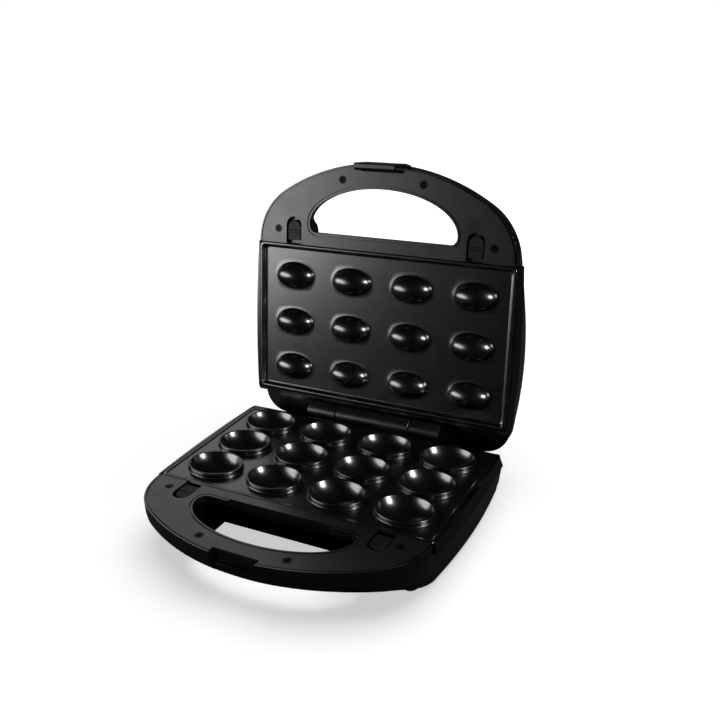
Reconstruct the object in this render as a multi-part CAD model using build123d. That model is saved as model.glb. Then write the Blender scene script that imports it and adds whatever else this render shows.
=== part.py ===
from build123d import *
import math
import os

# Multi-snack maker, opened. Millimetres, +Z up, +Y to the rear, +X to the right.
# The origin lies on the worktop, under the middle of the opened appliance.
# Both halves are drawn face up: Z = 0 is the face that meets the other half, and the
# inside of the half lies below it. The lid is then turned over and swung open.

# Baking grid
cup_columns = 4
cup_rows = 3
cup_pitch_x = 52.0
cup_pitch_y = 38.6

# Cups of the lower plate
cup_half_length = 20.25
cup_half_width = 16.0
cup_depth = 12.0
collar_height = 3.5
collar_wall = 1.5
collar_chamfer = 0.6
cup_wall = 2.0

# Domes of the upper plate
dome_half_length = 17.5
dome_radius = 11.0
dome_wall = 2.2

# Plates
plate_half_width = 110.0
plate_front = 64.6
plate_rear = 60.0
plate_corner = 4.0
plate_rim = 2.6
plate_skirt = 2.2
plate_web = 2.5
plate_height = 12.0
flange_depth = 4.0
flange_step = 2.0
flange_gap = 0.4
lower_recess = 0.7
upper_recess = 5.5
upper_slope = 2.4
recess_slope = 0.6
plate_gap = 0.3

# Plate tabs at the rear
tab_place = 55.0
tab_width = 14.0
tab_reach = 1.3
tab_thick = 2.0
tab_gap = 0.3

# Case outline at the face
case_join = 65.0
handle_half_width = 110.0
handle_reach = 67.4
case_half_width = 111.4
case_rear = 84.0
case_rear_half = 110.0
case_corner = 21.0
handle_fullness = 0.95
case_middle = 5.0

# Case outline below the crease
crease_depth = 8.0
crease_half_width = 114.8
crease_rear_half = 111.2
side_lean = 4.5
base_front_lean = 2.5
lid_front_lean = 7.0
rear_lean = 2.0

# Case depth and its rounded edges
base_depth = 36.0
lid_depth = 38.0
case_wall = 2.2
rim_wall = 1.3
handle_depth = 19.0
handle_edge = 8.5
underside_run = 2.1
join_shift = 12.5
bottom_round = 3.0

# Side bands
band_front = 65.0
band_front_half = 111.2
band_half = 113.0
band_rear_half = 111.2
band_crease_front_half = 112.8
band_crease_half = 115.3
band_crease_rear_half = 113.2
band_root = 98.0
band_corner = 4.0
band_crease_corner = 1.5

# Rear step, deck and hinge opening
rear_bar = 2.2
deck_depth = 12.0

# Hand hole and finger scoop
hole_centre = 82.0
hole_half_width = 63.0
hole_reach = 31.0
hole_corner = 6.5
scoop_half_width = 61.5
scoop_top = 7.5
scoop_front = 84.0
scoop_lip = 76.0
scoop_run = 22.5
scoop_fall = 30.5
notch_half_width = 42.0
notch_slant = 3.0
notch_reach = 2.5
hole_lip_wall = 1.5
hole_lip_depth = 5.0
hole_flare_depth = 20.0
base_hole_flare = 1.0
lid_hole_flare = 14.0
hole_gap = 0.6

# Inner frame
face_thick = 2.5
seam = 0.3
ring_thick = 2.2
ring_half_width = 103.0
ring_front = 58.5
ring_rear = 54.5
ring_corner = 8.0
front_wall = 2.0
front_wall_half = 105.6
rest_length = 8.0
rest_reach = 5.0
rest_spread = 40.0

# Catches that free the plates
catch_place = 77.5
pocket_width = 14.0
pocket_length = 22.0
pocket_depth = 4.5
pocket_wall = 1.6
catch_width = 11.6
catch_front = 84.0
catch_rear = 68.0
catch_top = 1.0
catch_thick = 3.2
catch_travel = 3.0
catch_lip = 2.0
catch_lip_rise = 0.8
neck_width = 5.6
neck_front = 78.6
neck_rear = 72.6
shoe_width = 9.0
shoe_front = 80.0
shoe_thick = 2.4
shoe_gap = 0.2
nose_width = 7.6
nose_reach = 2.4
nose_gap = 0.4
catch_spring_radius = 1.1
catch_spring_wire = 0.4
catch_spring_turns = 7
catch_spring_stop = 89.5
catch_stop_thick = 1.6
catch_stop_width = 6.0

# Face screws
outer_screw_x = 92.0
outer_screw_y = 76.5
inner_screw_x = 34.0
inner_screw_y = 118.5
screw_head = 3.0
screw_head_thick = 1.6
screw_shank = 1.4
screw_length = 11.0
screw_sink = 1.9
screw_gap = 0.15
screw_slot = 0.7
screw_slot_depth = 0.8
boss_radius = 4.2

# Latch
latch_half_width = 16.8
latch_side_gap = 0.8
latch_back = 126.0
latch_depth = 19.5
latch_outer = 132.8
latch_thick = 2.6
latch_top = 14.5
latch_top_outer = 131.2
latch_reach = 15.5
latch_pivot_y = 128.7
latch_pivot_z = 6.0
latch_boss = 2.2
latch_pin_radius = 1.2
latch_pin_gap = 0.05
latch_pin_bite = 1.6
latch_barb = 3.0
latch_barb_thick = 3.4
latch_hold_gap = 0.4
latch_ridge = 2.6
latch_ridge_thick = 3.0
latch_spring_half = 5.0
latch_spring_radius = 1.75
latch_spring_wire = 0.3
latch_spring_turns = 6
latch_pocket_depth = 1.3

# Hinge
hinge_y = 72.4
hinge_z = 2.4
open_angle = 98.35
parting_gap = 0.6
barrel_radius = 8.0
base_knuckle_half = 32.4
knuckle_gap = 1.2
lid_knuckle_end = 59.0
hinge_pin_radius = 2.5
hinge_pin_gap = 0.05
knuckle_cap = 2.0
bracket_front = 64.0
bracket_rear = 80.8
bracket_margin = 3.6
lid_bracket_half = 66.2
bracket_sink = 1.4
bracket_gap = 0.3
flange_lap = 3.0
flange_thick = 2.2
stake_radius = 1.4
stake_head = 2.3
stake_head_thick = 0.9
stake_gap = 0.1

# Heater, reflector and their small parts
heater_radius = 3.25
heater_bend_x = 98.0
heater_bend = 12.0
heater_end_x = 93.0
heater_gap = 0.1
pin_radius = 1.4
pin_length = 7.0
reflector_thick = 0.8
reflector_gap = 0.3
reflector_drop = 5.2
saddle_place = 52.0
saddle_length = 8.0
saddle_width = 10.0
saddle_grip = 2.0
thermostat_radius = 6.4
thermostat_height = 8.0
blade_width = 4.0
blade_length = 6.0
blade_thick = 0.8
bracket_width = 9.0
bracket_half_length = 14.0
bracket_foot = 5.0
fuse_radius = 2.0
fuse_length = 13.0
fuse_x = 38.0
fuse_lead = 0.6
fuse_lead_length = 6.0
fuse_clip_width = 5.0
fuse_clip_wall = 0.6
fuse_clip_foot = 3.0
fixing_place = 22.0
fixing_head = 1.2
fixing_shank = 0.7
fixing_length = 6.0

# Electrical parts in the base
gland_x = -70.0
gland_z = 22.0
gland_bore = 3.6
gland_shank = 6.0
gland_collar = 8.5
gland_collar_thick = 3.0
gland_gap = 0.1
nut_radius = 7.5
nut_thick = 2.2
pad_radius = 9.0
pad_face = 84.4
pad_back = 80.0
clamp_y = 66.0
clamp_spread = 8.0
clamp_length = 23.0
clamp_width = 7.0
clamp_thick = 2.6
clamp_post = 3.0
block_length = 26.0
block_width = 12.0
block_height = 9.0
block_x = -62.0
block_y = 30.0
block_pots = 3
block_pot_radius = 2.0
block_pot_depth = 5.0
lid_block_x = 58.0

# Feet and vents
foot_x = 92.0
foot_front = 62.5
foot_rear = 60.0
foot_radius = 6.0
foot_tip = 5.4
foot_height = 4.0
foot_socket = 1.0
foot_socket_gap = 0.2
foot_stem = 2.4
foot_stem_gap = 0.1
foot_bulb = 3.2
foot_bulb_height = 1.8
vent_count = 6
vent_pitch = 7.0
vent_width = 2.6
vent_length = 24.0
vent_x = 40.0
vent_y = 12.0

# Lamps in the lid
lamp_spread = 9.0
lamp_y = 30.0
lens_radius = 3.5
lens_gap = 0.1
lens_flange = 4.8
lens_flange_thick = 1.2
lens_rise = 0.8
bulb_radius = 2.2
bulb_length = 8.0
bulb_gap = 0.3
holder_length = 46.0
holder_width = 12.0
holder_thick = 2.0
holder_post = 2.4
holder_post_x = 19.5

# Placing
origin_back = -2.0

# Sizes that follow from the ones above
well_half_width = plate_half_width + plate_gap
well_rear = plate_rear + plate_gap
well_step = well_half_width - flange_step
body_half_width = plate_half_width - flange_step
body_front = plate_front - flange_step
body_rear = plate_rear - flange_step
step_rear = well_rear + rear_bar
ring_depth = plate_height + ring_thick
bowl_radius = (cup_half_width ** 2 + cup_depth ** 2) / (2 * cup_depth)
bowl_centre = collar_height - cup_depth + bowl_radius
bowl_half_length = cup_half_length / math.sqrt(1 - ((bowl_radius - cup_depth) / bowl_radius) ** 2)
reflector_floor = ring_depth + reflector_drop - ring_thick - reflector_thick
reflector_back = reflector_floor + reflector_thick
latch_gap_half = latch_half_width + latch_side_gap
shoe_top = pocket_depth + pocket_wall + shoe_gap
deck_back = deck_depth + case_wall
stand_height = base_depth + foot_height
tiny = 0.01
far = 200.0


# Small builders

def block(x0, x1, y0, y1, z0, z1):
    """A box from corner to corner."""
    size = Box(x1 - x0, y1 - y0, z1 - z0)
    return Pos((x0 + x1) / 2, (y0 + y1) / 2, (z0 + z1) / 2) * size


def rod(radius, start, end):
    """A round rod between two points."""
    line = Vector(*end) - Vector(*start)
    plane = Plane(origin=start, z_dir=line)
    return extrude(plane * Circle(radius), amount=line.length)


def slab(profile, z0, z1):
    """A flat profile as thick as the two heights say."""
    return extrude(Pos(0, 0, z0) * profile, amount=z1 - z0)


def both_sides(piece):
    """A piece and its mirror image across the middle of the appliance."""
    return piece + mirror(piece, about=Plane.YZ)


def as_group(pieces):
    """Separate solids under one name."""
    solids = []
    for piece in pieces:
        solids.extend(piece.solids())
    return Compound(children=solids)


def spindle(half_length, radius):
    """An egg-like body, round about the X axis."""
    arc = EllipticalCenterArc((0, 0), half_length, radius, 0, arc_size=180)
    return revolve(make_face([arc, Line((-half_length, 0), (half_length, 0))]), Axis.X)


def grid_places():
    """Centres of the cups, column by column."""
    for column in range(cup_columns):
        for row in range(cup_rows):
            x = (column - (cup_columns - 1) / 2) * cup_pitch_x
            y = (row - (cup_rows - 1) / 2) * cup_pitch_y
            yield x, y


def rounded_rectangle(half_width, front, rear, corner):
    """A rectangle with round corners, from its front edge to its rear edge."""
    shape = RectangleRounded(2 * half_width, front + rear, corner)
    return Pos(0, (rear - front) / 2) * shape


# Case

def round_inset(depth, total):
    """How far the bottom rounding draws the outline in at a depth."""
    start = total - bottom_round
    if depth <= start:
        return 0.0
    rise = (depth - start) / bottom_round
    return bottom_round * (1 - math.sqrt(max(0.0, 1 - rise ** 2)))


def handle_arch(a, b, joint):
    """The arched front of the handle: a wide arc between two tighter ones."""
    small = handle_fullness * b * math.sqrt(b / a)
    large = ((a - small) ** 2 + b ** 2 - small ** 2) / (2 * (b - small))
    turn = math.atan2(large - b, a - small)
    x = a - small + small * math.cos(turn)
    y = -joint - small * math.sin(turn)
    mid_x = a - small + small * math.cos(turn / 2)
    mid_y = -joint - small * math.sin(turn / 2)
    return [
        ThreePointArc((-a, -joint), (-mid_x, mid_y), (-x, y)),
        ThreePointArc((-x, y), (0, -joint - b), (x, y)),
        ThreePointArc((x, y), (mid_x, mid_y), (a, -joint)),
    ]


def case_section(depth, total, inset, front_lean):
    """Plan outline of the case at a depth, drawn in by an inset."""
    lean = max(0.0, depth - crease_depth) / (total - crease_depth)
    flare = min(1.0, depth / crease_depth)
    draw = inset + round_inset(depth, total)
    joint = case_join - join_shift * max(0.0, (depth - handle_depth) / (total - handle_depth))
    front = case_join + handle_reach - handle_edge * min(1.0, depth / handle_depth) ** 4
    front = front - underside_run * max(0.0, depth - handle_depth)
    a = handle_half_width - front_lean * lean - draw
    b = front - joint - draw
    side = side_lean * lean ** 1.3 + draw
    middle = case_half_width + (crease_half_width - case_half_width) * flare - side
    rear_half = case_rear_half + (crease_rear_half - case_rear_half) * flare - side
    rear = case_rear - rear_lean * (depth / total) ** 2 - draw
    corner = case_corner - inset
    shift = corner * (1 - math.sqrt(0.5))
    side_end = rear - corner
    back_end = rear_half - corner
    edges = [
        *handle_arch(a, b, joint),
        ThreePointArc((a, -joint), (middle, case_middle), (rear_half, side_end)),
        ThreePointArc((rear_half, side_end), (rear_half - shift, rear - shift), (back_end, rear)),
        Line((back_end, rear), (-back_end, rear)),
        ThreePointArc((-back_end, rear), (shift - rear_half, rear - shift), (-rear_half, side_end)),
        ThreePointArc((-rear_half, side_end), (-middle, case_middle), (-a, -joint)),
    ]
    return make_face(edges)


def case_body(total, inset, floor, front_lean):
    """The case as one body: straight down to the crease, then a smooth bowl."""
    start = total - bottom_round
    depths = [crease_depth, 11.0, 14.0, 16.5, handle_depth, 22.0]
    depths.append((22.0 + start) / 2)
    depths.append(start)
    for turn in (30, 60, 90):
        depths.append(start + bottom_round * math.sin(math.radians(turn)))
    squeeze = (total - floor) / total
    sections = []
    for depth in depths:
        outline = case_section(depth, total, inset, front_lean)
        sections.append(Pos(0, 0, -depth * squeeze) * outline)
    top = loft([case_section(0.0, total, inset, front_lean), sections[0]], ruled=True)
    return top + loft(sections)


def band_section(front_half, half, rear_half, corner):
    """Plan outline of the right side band at one height."""
    rear = step_rear
    shift = corner * (1 - math.sqrt(0.5))
    side_end = rear - corner
    back_end = rear_half - corner
    edges = [
        Line((band_root, -band_front), (front_half, -band_front)),
        ThreePointArc((front_half, -band_front), (half, 0), (rear_half, side_end)),
        ThreePointArc((rear_half, side_end), (rear_half - shift, rear - shift), (back_end, rear)),
        Line((back_end, rear), (band_root, rear)),
        Line((band_root, rear), (band_root, -band_front)),
    ]
    return make_face(edges)


def side_band():
    """The flared band along the right side, from the face down to the crease."""
    top = band_section(band_front_half, band_half, band_rear_half, band_corner)
    foot = band_section(
        band_crease_front_half, band_crease_half, band_crease_rear_half, band_crease_corner
    )
    return loft([top, Pos(0, 0, -crease_depth) * foot], ruled=True)


def hole_profile(grow, spread=0.0):
    """Plan of the hand hole: a half ellipse in front, round corners at the rear."""
    a = hole_half_width + grow + spread
    b = hole_reach + grow
    corner = hole_corner + grow
    rear = -hole_centre + corner
    shift = corner * (1 - math.sqrt(0.5))
    edges = [
        EllipticalCenterArc((0, -hole_centre), a, b, 180, arc_size=180),
        ThreePointArc((a, -hole_centre), (a - shift, rear - shift), (a - corner, rear)),
        Line((a - corner, rear), (corner - a, rear)),
        ThreePointArc((corner - a, rear), (shift - a, rear - shift), (-a, -hole_centre)),
    ]
    return make_face(edges)


def scoop(grow, spread):
    """The sloping finger space behind the hand hole."""
    slide = grow * math.hypot(scoop_run, scoop_fall) / scoop_fall
    top = -scoop_top + grow
    drop = far / 4 - scoop_top
    foot = -scoop_lip + slide + scoop_run / scoop_fall * drop
    profile = Plane.YZ * Polygon(
        (-scoop_front, top),
        (-scoop_lip + slide, top),
        (foot, -scoop_top - drop),
        (-scoop_front, -scoop_top - drop),
        align=None,
    )
    return extrude(profile, amount=scoop_half_width + grow + spread, both=True)


def widening(half_width, spread, top, end):
    """Room that widens evenly between two heights and then goes straight down."""
    wide = half_width + spread
    mouth = Pos(0, 0, top) * Rectangle(2 * half_width, far)
    foot = Pos(0, 0, end) * Rectangle(2 * wide, far)
    return loft([mouth, foot]) + block(-wide, wide, -far / 2, far / 2, -far / 4, end)


def hand_space(grow, top, flare):
    """The hand hole with its finger scoop, as one body that widens below the lip."""
    lip = -hole_lip_depth
    end = lip - hole_flare_depth
    space = slab(hole_profile(grow), lip, top)
    mouth = Pos(0, 0, lip) * hole_profile(grow)
    space = space + loft([mouth, Pos(0, 0, end) * hole_profile(grow, flare)])
    space = space + slab(hole_profile(grow, flare), -far / 4, end)
    return space + (scoop(grow, flare) & widening(scoop_half_width + grow, flare, lip, end))


def latch_space(grow, top):
    """The open-fronted recess for the latch."""
    half = latch_gap_half + grow
    return block(-half, half, -far, -latch_back + grow, -latch_depth - grow, top)


def face_screw_places():
    """Centres of the screws in the face."""
    for side in (-1, 1):
        yield side * outer_screw_x, -outer_screw_y
        yield side * inner_screw_x, -inner_screw_y


def ring_rests():
    """Short ribs on the side walls, under the frame's ledge."""
    ribs = []
    for side in (-1, 1):
        for y in (-rest_spread, 0, rest_spread):
            x0 = side * (body_half_width - rest_reach)
            x1 = side * far
            low = -ring_depth - rest_reach
            ribs.append(
                block(min(x0, x1), max(x0, x1), y - rest_length / 2, y + rest_length / 2, low, -ring_depth)
            )
    return ribs


def case_room(total, front_lean, flare):
    """The room inside the case, outside the walls of the hand hole and the latch recess."""
    room = case_body(total, case_wall, case_wall, front_lean)
    room = room - block(-far, far, well_rear, far, -deck_back, far)
    room = room - hand_space(case_wall, -hole_lip_depth - seam, flare)
    return room - latch_space(case_wall, -face_thick - seam)


def plate_well():
    """The stepped opening for the plate and the shallow one for the frame's face."""
    low = -flange_depth - flange_gap
    wide = block(-well_half_width, well_half_width, -case_join, well_rear, low, far / 10)
    narrow = block(-well_step, well_step, -case_join, well_rear, -ring_depth, 0)
    face = slab(frame_outline(rim_wall), -face_thick - seam, far / 10)
    return [wide, narrow, face]


def case_bosses(outer, total):
    """Screw bosses, cut to the inside of the case."""
    posts = []
    for x, y in face_screw_places():
        post = rod(boss_radius, (x, y, -total), (x, y, -face_thick - seam))
        posts.append(post & outer)
    return posts


def screw_bores(top):
    """Pilot bores for the face screws."""
    bores = []
    for x, y in face_screw_places():
        bores.append(rod(screw_shank, (x, y, -screw_sink - screw_length), (x, y, top)))
    return bores


def tab_slots(grow):
    """Rear tabs of the plate, or the blind slots that take them."""
    slots = []
    for side in (-1, 1):
        x = side * tab_place
        low = -plate_height - grow
        slots.append(
            block(
                x - tab_width / 2 - grow,
                x + tab_width / 2 + grow,
                body_rear - tiny,
                plate_rear + tab_reach + grow,
                low,
                low + tab_thick + 2 * grow,
            )
        )
    return slots


def bracket_plate(half, grow):
    """Plan of a hinge bracket where it fills the deck opening."""
    return block(-half - grow, half + grow, bracket_front - grow, bracket_rear + grow, -far, far)


def stake_places(half):
    """Centres of the heat stakes that hold a hinge bracket."""
    for side in (-1, 1):
        yield side * (half + flange_lap + stake_head + 1.0), (bracket_front + bracket_rear) / 2


def stakes(half):
    """Moulded stakes, melted over under the bracket's flange."""
    pegs = []
    flange_back = -deck_back - flange_thick
    for x, y in stake_places(half):
        pegs.append(rod(stake_radius, (x, y, -deck_back + tiny), (x, y, flange_back)))
        pegs.append(rod(stake_head, (x, y, flange_back - stake_head_thick), (x, y, flange_back)))
    return pegs


def outer_shell(total, bracket_half, front_lean, flare):
    """A case half: side bands, hand hole, deck and screw bosses round a thin wall."""
    outer = case_body(total, 0.0, 0.0, front_lean) + both_sides(side_band())
    outer = outer - block(-far, far, step_rear, far, -deck_depth, far)
    outer = outer - hand_space(hole_gap, far / 10, flare) - latch_space(0.0, far / 10)
    shell = outer - case_room(total, front_lean, flare) - plate_well()
    shell = shell + case_bosses(outer, total) + [rib & outer for rib in ring_rests()]
    shell = shell - screw_bores(0.0)
    opening = bracket_plate(bracket_half, bracket_gap)
    shell = shell - (opening & block(-far, far, 0, far, -deck_back - tiny, 0))
    return shell - tab_slots(tab_gap) + stakes(bracket_half)


# Base shell

def latch_ridge_bar():
    """The ridge that the latch hooks under, with a sloped top."""
    foot = -latch_back
    low = -(latch_reach - parting_gap - latch_barb_thick) + latch_hold_gap
    nose = foot - latch_ridge
    profile = Plane.YZ * Polygon(
        (foot + tiny, low),
        (nose, low),
        (nose, low + latch_ridge_thick / 2),
        (foot + tiny, low + latch_ridge_thick),
        align=None,
    )
    return extrude(profile, amount=latch_half_width - 1.0, both=True)


def foot_places():
    """Centres of the four feet."""
    for side in (-1, 1):
        yield side * foot_x, -foot_front
        yield side * foot_x, foot_rear


def foot_seats():
    """Sockets and stem holes for the feet."""
    cuts = []
    for x, y in foot_places():
        cuts.append(
            rod(foot_radius + foot_socket_gap, (x, y, -far / 4), (x, y, -base_depth + foot_socket))
        )
        cuts.append(rod(foot_stem + foot_stem_gap, (x, y, -far / 4), (x, y, -base_depth + 2 * case_wall)))
    return cuts


def foot_lands():
    """Thick lands in the floor, under each foot socket."""
    lands = []
    for x, y in foot_places():
        low = -base_depth
        lands.append(rod(foot_radius + case_wall, (x, y, low), (x, y, low + foot_socket + case_wall)))
    return lands


def vent_slots():
    """Two rows of slots in the bottom."""
    slot = SlotOverall(vent_length, vent_width)
    cuts = []
    for side in (-1, 1):
        for index in range(vent_count):
            y = vent_y + (index - (vent_count - 1) / 2) * vent_pitch
            cuts.append(slab(Pos(side * vent_x, y) * slot, -base_depth - 1, -base_depth + 2 * case_wall))
    return cuts


def clamp_post_places():
    """Centres of the two posts under the cord clamp."""
    for side in (-1, 1):
        yield gland_x + side * clamp_spread, clamp_y


def base_outer_shell():
    """The base shell with its feet sockets, vents, cord pad and latch ridge."""
    outer = case_body(base_depth, 0.0, 0.0, base_front_lean)
    half = base_knuckle_half + bracket_margin
    shell = outer_shell(base_depth, half, base_front_lean, base_hole_flare)
    shell = shell + [land & outer for land in foot_lands()]
    shell = shell + rod(pad_radius, (gland_x, pad_back, -gland_z), (gland_x, pad_face, -gland_z))
    floor = -base_depth + case_wall
    for x, y in clamp_post_places():
        post = rod(clamp_post, (x, y, floor - tiny), (x, y, gland_bore - gland_z))
        bore = rod(screw_shank, (x, y, floor + case_wall), (x, y, 0))
        shell = shell + post - bore
    shell = shell - foot_seats() - vent_slots() + latch_ridge_bar()
    return shell - rod(gland_shank + gland_gap, (gland_x, 70, -gland_z), (gland_x, 100, -gland_z))


# Lid shell

def lamp_places():
    """Centres of the two lamps."""
    for side in (-1, 1):
        yield side * lamp_spread, -lamp_y


def holder_posts():
    """Posts inside the lid that carry the lamp holder."""
    top = -lid_depth + case_wall
    back = top + lens_flange_thick + bulb_gap + bulb_length
    posts = []
    for side in (-1, 1):
        x = side * holder_post_x
        posts.append(rod(holder_post, (x, -lamp_y, top - tiny), (x, -lamp_y, back)))
        posts.append(rod(stake_radius, (x, -lamp_y, back - tiny), (x, -lamp_y, back + holder_thick)))
        head = back + holder_thick
        posts.append(rod(stake_head, (x, -lamp_y, head), (x, -lamp_y, head + stake_head_thick)))
    return posts


def lid_outer_shell():
    """The lid shell with its lamp holes and latch pin bores."""
    shell = outer_shell(lid_depth, lid_bracket_half, lid_front_lean, lid_hole_flare)
    for x, y in lamp_places():
        shell = shell - rod(lens_radius + lens_gap, (x, y, -far / 4), (x, y, -lid_depth + 2 * case_wall))
    reach = latch_gap_half + latch_pin_bite
    pin = rod(
        latch_pin_radius + latch_pin_gap,
        (-reach, -latch_pivot_y, -latch_pivot_z),
        (reach, -latch_pivot_y, -latch_pivot_z),
    )
    return shell - pin + holder_posts()


# Inner frames

def frame_outline(inset):
    """Plan of the frame's face: the handle outline inside the case rim."""
    a = handle_half_width - inset
    b = handle_reach - inset
    return make_face([*handle_arch(a, b, case_join), Line((a, -case_join), (-a, -case_join))])


def pocket_profile(width, length):
    """Plan of a catch pocket: open at the plate, round at its far end."""
    radius = width / 2
    end = -case_join - length
    edges = [
        Line((-radius, -case_join + 1), (-radius, end + radius)),
        ThreePointArc((-radius, end + radius), (0, end), (radius, end + radius)),
        Line((radius, end + radius), (radius, -case_join + 1)),
        Line((radius, -case_join + 1), (-radius, -case_join + 1)),
    ]
    return make_face(edges)


def catch_spaces(side):
    """Cuts for one catch: its pocket, the neck slot and the nose window."""
    place = Pos(side * catch_place, 0, 0)
    pocket = slab(pocket_profile(pocket_width, pocket_length), -pocket_depth, 1)
    half = neck_width / 2 + nose_gap
    slot = block(
        -half,
        half,
        -neck_front - catch_travel - nose_gap,
        -neck_rear + nose_gap,
        -pocket_depth - pocket_wall - 1,
        -pocket_depth + 1,
    )
    half = nose_width / 2 + nose_gap
    low = -shoe_top - shoe_thick - nose_gap
    front = -case_join - front_wall - 1
    window = block(-half, half, front, -case_join + 1, low, -shoe_top + nose_gap)
    return place * (pocket + slot + window)


def catch_cradle(side):
    """The tray under one catch pocket, with the stop for its spring."""
    width = pocket_width + 2 * pocket_wall
    length = pocket_length + pocket_wall
    tray = slab(pocket_profile(width, length), -pocket_depth - pocket_wall, -tiny)
    tray = tray & block(-far, far, -far, -case_join, -far, far)
    half = catch_stop_width / 2
    stop = block(
        -half,
        half,
        -catch_spring_stop - catch_stop_thick,
        -catch_spring_stop,
        -shoe_top - shoe_thick,
        -face_thick + tiny,
    )
    return Pos(side * catch_place, 0, 0) * (tray + stop)


def frame_ring():
    """The ledge that the plate stands on."""
    rear = well_rear - tab_gap
    outer = rounded_rectangle(well_step - tab_gap, case_join, rear, plate_corner)
    inner = rounded_rectangle(ring_half_width, ring_front, ring_rear, ring_corner)
    return slab(outer - inner, -ring_depth, -plate_height)


def inner_frame():
    """The face of the handle with its plate ledge, hole lip, catch pockets and screw seats."""
    frame = slab(frame_outline(rim_wall + seam), -face_thick, 0)
    half = front_wall_half
    frame = frame + block(-half, half, -case_join - front_wall, -case_join, -ring_depth, -tiny)
    frame = frame + frame_ring() + slab(hole_profile(hole_lip_wall), -hole_lip_depth, -tiny)
    for side in (-1, 1):
        frame = frame + catch_cradle(side)
        frame = frame - catch_spaces(side)
    frame = frame - slab(hole_profile(0.0), -far, far) - latch_space(seam, far)
    for x, y in face_screw_places():
        seat = rod(screw_head + screw_gap, (x, y, -screw_sink), (x, y, 1))
        hole = rod(screw_shank + screw_gap, (x, y, -face_thick - 1), (x, y, 1))
        frame = frame - seat - hole
    return frame - reflector_fixing_cuts(fixing_shank)


def base_inner_frame():
    """The base frame, with the notch in the rear edge of its hand hole."""
    rear = -hole_centre + hole_corner
    half = notch_half_width
    back = rear + notch_reach
    outline = Polygon(
        (-half, rear - 1),
        (half, rear - 1),
        (half, rear),
        (half - notch_slant, back),
        (notch_slant - half, back),
        (-half, rear),
        align=None,
    )
    lip = block(-half, half, rear, back + hole_lip_wall, -hole_lip_depth, -tiny)
    return inner_frame() + lip - slab(outline, -far / 4, 1)


# Plates

def plate_tray(recess, slope):
    """A cast tray: rim flange, recessed floor, skirt, rear tabs and catch slots."""
    flange = rounded_rectangle(plate_half_width, plate_front, plate_rear, plate_corner)
    tray = slab(flange, -flange_depth, 0)
    body = rounded_rectangle(body_half_width, body_front, body_rear, plate_corner)
    tray = tray + slab(body, -plate_height, -tiny)
    wall = plate_skirt
    corner = plate_corner - wall
    under = rounded_rectangle(body_half_width - wall, body_front - wall, body_rear - wall, corner)
    tray = tray - slab(under, -plate_height - 1, -recess - plate_web)
    rim = plate_rim
    corner = plate_corner - rim / 2
    mouth = rounded_rectangle(plate_half_width - rim, plate_front - rim, plate_rear - rim, corner)
    rim = rim + slope
    floor = rounded_rectangle(plate_half_width - rim, plate_front - rim, plate_rear - rim, corner)
    tray = tray - loft([mouth, Pos(0, 0, -recess) * floor], ruled=True)
    half = nose_width / 2 + nose_gap
    rear = -body_front + wall + nose_reach
    low = -shoe_top - shoe_thick - nose_gap
    for side in (-1, 1):
        x = side * catch_place
        tray = tray - block(x - half, x + half, -plate_front, rear, low, -shoe_top + nose_gap)
    return tray + tab_slots(0.0)


def lower_plate():
    """The lower plate with its raised collars and bowls."""
    tray = plate_tray(lower_recess, recess_slope)
    rim = Ellipse(cup_half_length + collar_wall, cup_half_width + collar_wall)
    collar = slab(rim, -lower_recess - 1, collar_height)
    collar = chamfer(collar.edges().sort_by(Axis.Z)[-1], collar_chamfer)
    outside = Pos(0, 0, bowl_centre) * spindle(bowl_half_length + cup_wall, bowl_radius + cup_wall)
    outside = outside & block(-far, far, -far, far, -far, -lower_recess - 1)
    inside = Pos(0, 0, bowl_centre) * spindle(bowl_half_length, bowl_radius)
    for x, y in grid_places():
        tray = tray + Pos(x, y, 0) * collar + Pos(x, y, 0) * outside
    for x, y in grid_places():
        tray = tray - Pos(x, y, 0) * inside
    return tray


def upper_plate():
    """The upper plate with its hollow domes."""
    tray = plate_tray(upper_recess, upper_slope)
    above = block(-far, far, -far, far, -tiny, far)
    outside = spindle(dome_half_length, dome_radius) & above
    inside = spindle(dome_half_length - dome_wall, dome_radius - dome_wall)
    inside = inside & block(-far, far, -far, far, -plate_web, far)
    for x, y in grid_places():
        tray = tray + Pos(x, y, -upper_recess) * outside
    back = rod(dome_radius - dome_wall - 1, (0, 0, -plate_web - 1), (0, 0, 0))
    for x, y in grid_places():
        tray = tray - Pos(x, y, -upper_recess) * (inside + back)
    return tray


# Heating parts

def heater(centre):
    """A tubular element bent into a U, with its two terminal pins."""
    y = cup_pitch_y / 2
    points = [
        (-heater_end_x, -y, -centre),
        (heater_bend_x, -y, -centre),
        (heater_bend_x, y, -centre),
        (-heater_end_x, y, -centre),
    ]
    path = FilletPolyline(*points, radius=heater_bend)
    tube = sweep(Plane(origin=points[0], z_dir=(1, 0, 0)) * Circle(heater_radius), path=path)
    for side in (-1, 1):
        end = (-heater_end_x - pin_length, side * y, -centre)
        tube = tube + rod(pin_radius, (-heater_end_x + 1, side * y, -centre), end)
    return tube


def heater_saddles(centre):
    """Four saddles that carry the element on the reflector."""
    saddles = []
    for x in (-saddle_place, saddle_place):
        for y in (-cup_pitch_y / 2, cup_pitch_y / 2):
            body = block(
                x - saddle_length / 2,
                x + saddle_length / 2,
                y - saddle_width / 2,
                y + saddle_width / 2,
                -reflector_floor,
                -centre - heater_radius + saddle_grip,
            )
            groove = rod(heater_radius, (x - saddle_length, y, -centre), (x + saddle_length, y, -centre))
            saddles.append(body - groove)
    return as_group(saddles)


def reflector_fixing_places():
    """Centres of the reflector's fixing screws."""
    x = (ring_half_width + body_half_width - plate_skirt) / 2
    for side in (-1, 1):
        for y in (-fixing_place, fixing_place):
            yield side * x, y


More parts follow.
